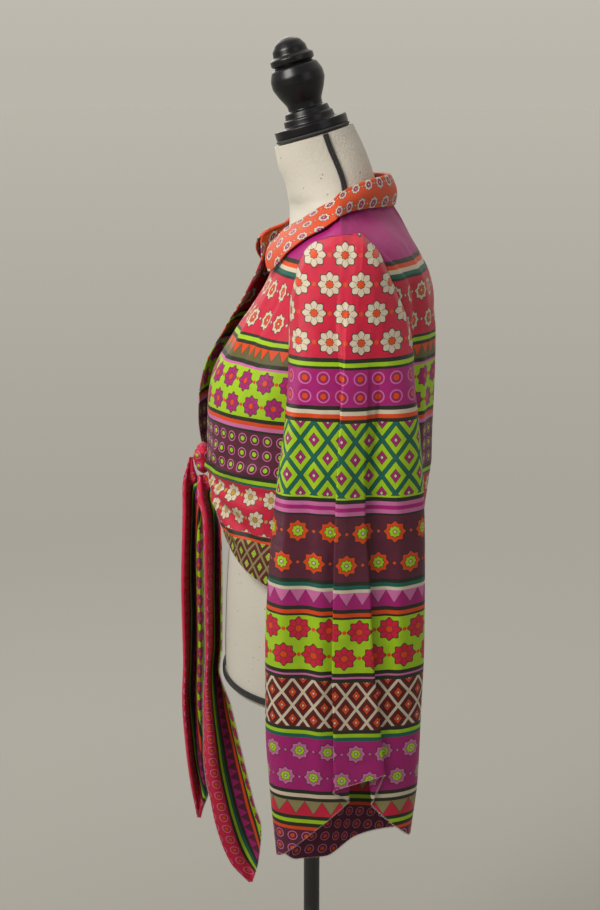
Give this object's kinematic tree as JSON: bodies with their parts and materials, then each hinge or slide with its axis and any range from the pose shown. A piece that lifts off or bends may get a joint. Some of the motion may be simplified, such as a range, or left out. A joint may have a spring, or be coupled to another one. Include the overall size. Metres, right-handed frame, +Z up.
{
  "type": "tie-front blouse on a dress form",
  "caption": "Cropped long-sleeved printed blouse with turned collar, box-pleated sleeves and a tied front, worn by a limbless dress form on a pole stand.",
  "frame": {"origin": "centre of the base's underside, on the pole's axis", "axes": "+Z up, front of the blouse towards -Y, wearer's left towards +X"},
  "size_m": [0.529, 0.3199, 1.6022],
  "materials": {
    "printed_satin_body": "thin printed satin, soft sheen",
    "printed_satin_back": "thin printed satin, soft sheen",
    "printed_satin_sleeve": "thin printed satin, soft sheen",
    "printed_satin_collar": "thin printed satin, soft sheen",
    "printed_satin_tie": "thin printed satin, soft sheen",
    "form_cover": "off-white linen-like cover, matt",
    "black_braid": "woven black tape and cord, matt",
    "black_lacquer": "turned wood, black lacquer, gloss",
    "black_metal": "black powder coat, satin"
  },
  "bodies": {
    "root": {"form_body": "form_cover", "neck_cap": "black_lacquer", "neck_trim": "black_braid", "side_tape_left": "black_braid", "side_tape_right": "black_braid", "bottom_trim": "black_braid", "base": "black_metal", "pole": "black_metal", "pole_socket": "black_metal", "front_left": "printed_satin_body", "front_right": "printed_satin_body", "back": "printed_satin_back", "sleeve_left": "printed_satin_sleeve", "sleeve_right": "printed_satin_sleeve", "collar_stand": "printed_satin_collar", "collar_leaf": "printed_satin_collar", "knot": "printed_satin_tie", "tie_left": "printed_satin_tie", "tie_right": "printed_satin_tie"}
  },
  "joints": []
}
